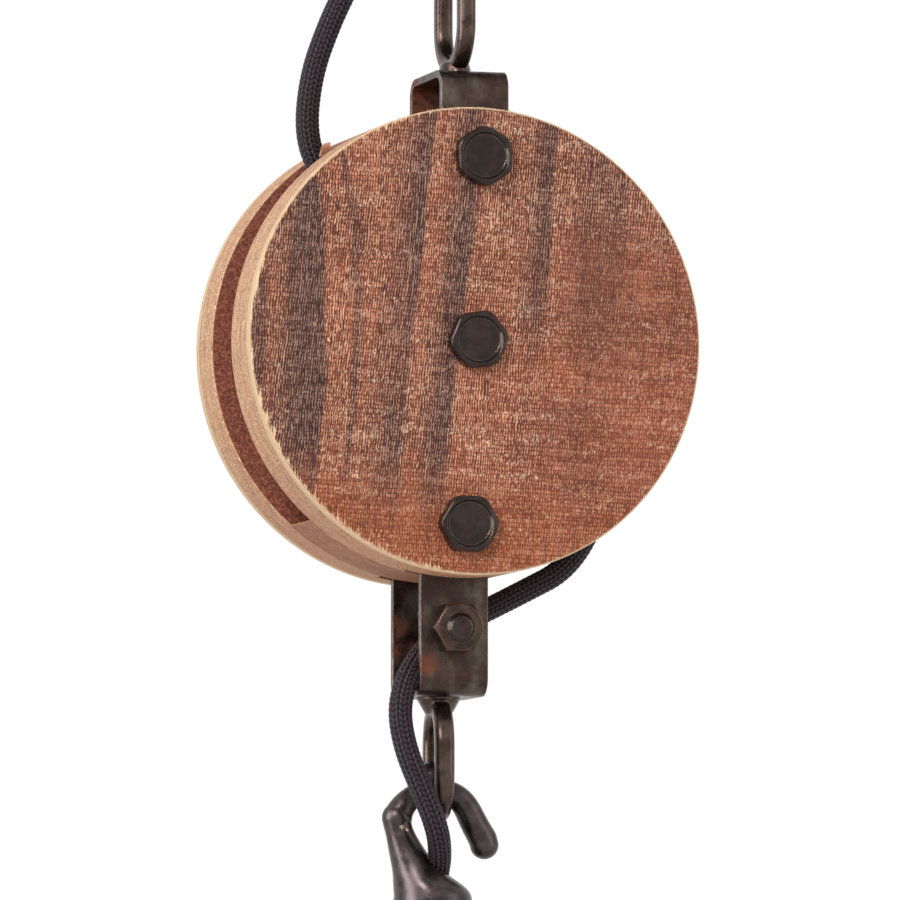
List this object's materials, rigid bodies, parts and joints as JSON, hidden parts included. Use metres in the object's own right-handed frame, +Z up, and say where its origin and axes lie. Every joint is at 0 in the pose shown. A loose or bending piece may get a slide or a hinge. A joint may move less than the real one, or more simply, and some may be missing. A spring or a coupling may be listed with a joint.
{
  "type": "pulley pendant light suspension",
  "caption": "Wooden pulley block hung from a ceiling hook, with a cord led over its wheel into a cast hook cap for a pendant lampholder.",
  "frame": {"origin": "centre of the mounting plate's ceiling face, midway between its ceiling screws", "axes": "+Z up out of the ceiling face, +X across the face of the wooden cheeks with the cord coming down on the -X side, +Y along the bolts from heads to nuts"},
  "size_m": [0.13, 0.084, 0.3278],
  "materials": {
    "black_canopy_paint": "satin black baked paint",
    "zinc_plate": "bright zinc plated steel",
    "bronze_hook_bar": "dark bronze satin lacquer over welded bar",
    "rusted_strap_steel": "dark gunmetal steel with rust spots and bare edges",
    "black_oxide_bolt": "black oxide, waxed, bright on the rims",
    "worn_guide_nut": "black oxide worn to copper brown at the corners",
    "face_wood": "weathered plain sawn hardwood, brown stain, saw marks",
    "core_wood": "bare tan rim, red brown stain on the inner face",
    "spacer_wood": "grey brown stained hardwood",
    "wheel_wood": "turned hardwood, red brown stain, waxed",
    "brass_bush": "turned brass, dull",
    "cast_hook_lacquer": "cast, dark bronze satin lacquer",
    "grip_plastic": "black moulded plastic",
    "terminal_plastic": "white moulded plastic",
    "braided_cord": "black textile braid"
  },
  "bodies": {
    "ceiling_rose": {"canopy": "black_canopy_paint", "mounting_plate": "zinc_plate", "ceiling_hook": "bronze_hook_bar", "ceiling_hook_nut": "zinc_plate", "cord_grip": "grip_plastic", "cord_grip_nut": "grip_plastic", "cord_grip_screw": "zinc_plate", "terminal_block": "terminal_plastic", "cord_top": "braided_cord"},
    "hanger": {"upper_strap": "rusted_strap_steel", "hanging_link": "bronze_hook_bar"},
    "block": {"front_cheek_core": "core_wood", "front_face_board": "face_wood", "rear_cheek_core": "core_wood", "rear_face_board": "face_wood", "top_spacer": "spacer_wood", "bottom_spacer": "spacer_wood", "upper_pivot_washers": "black_oxide_bolt", "lower_pivot_washers": "black_oxide_bolt", "top_bolt": "black_oxide_bolt", "axle_bolt": "black_oxide_bolt", "bottom_bolt": "black_oxide_bolt", "cheek_nuts": "black_oxide_bolt", "cheek_washers": "black_oxide_bolt", "axle_sleeve": "zinc_plate", "cord_entry": "braided_cord", "cord_wheel": "braided_cord"},
    "wheel": {"wheel": "wheel_wood", "wheel_bush": "brass_bush"},
    "lower_hanger": {"lower_strap": "rusted_strap_steel", "lamp_eye": "bronze_hook_bar", "guide_eye_bolt": "black_oxide_bolt", "guide_bolt_nut": "worn_guide_nut", "cord_run": "braided_cord"},
    "lamp_hook": {"lamp_hook": "cast_hook_lacquer", "cord_drop": "braided_cord"}
  },
  "joints": [
    {"name": "hanger_swing", "type": "hinge", "parent": "ceiling_rose", "child": "hanger", "pos_m": [0, 0, -0.0473], "axis": [0, 1, 0], "range_deg": [-6, 6], "deforming": ["cord_top"]},
    {"name": "block_pivot", "type": "hinge", "parent": "hanger", "child": "block", "pos_m": [-0.0009, 0, -0.10455], "axis": [0, 1, 0], "range_deg": [-7, 3], "deforming": ["cord_entry"]},
    {"name": "wheel_spin", "type": "hinge", "parent": "block", "child": "wheel", "pos_m": [-0.00268, 0, -0.15573], "axis": [0, 1, 0], "continuous": true},
    {"name": "lower_pivot", "type": "hinge", "parent": "block", "child": "lower_hanger", "pos_m": [-0.00536, 0, -0.20686], "axis": [0, 1, 0], "range_deg": [-3, 7], "deforming": ["cord_run"]},
    {"name": "hook_swing", "type": "hinge", "parent": "lower_hanger", "child": "lamp_hook", "pos_m": [-0.00536, 0, -0.28536], "axis": [0, 1, 0], "range_deg": [-8, 10], "deforming": ["cord_drop"]}
  ]
}
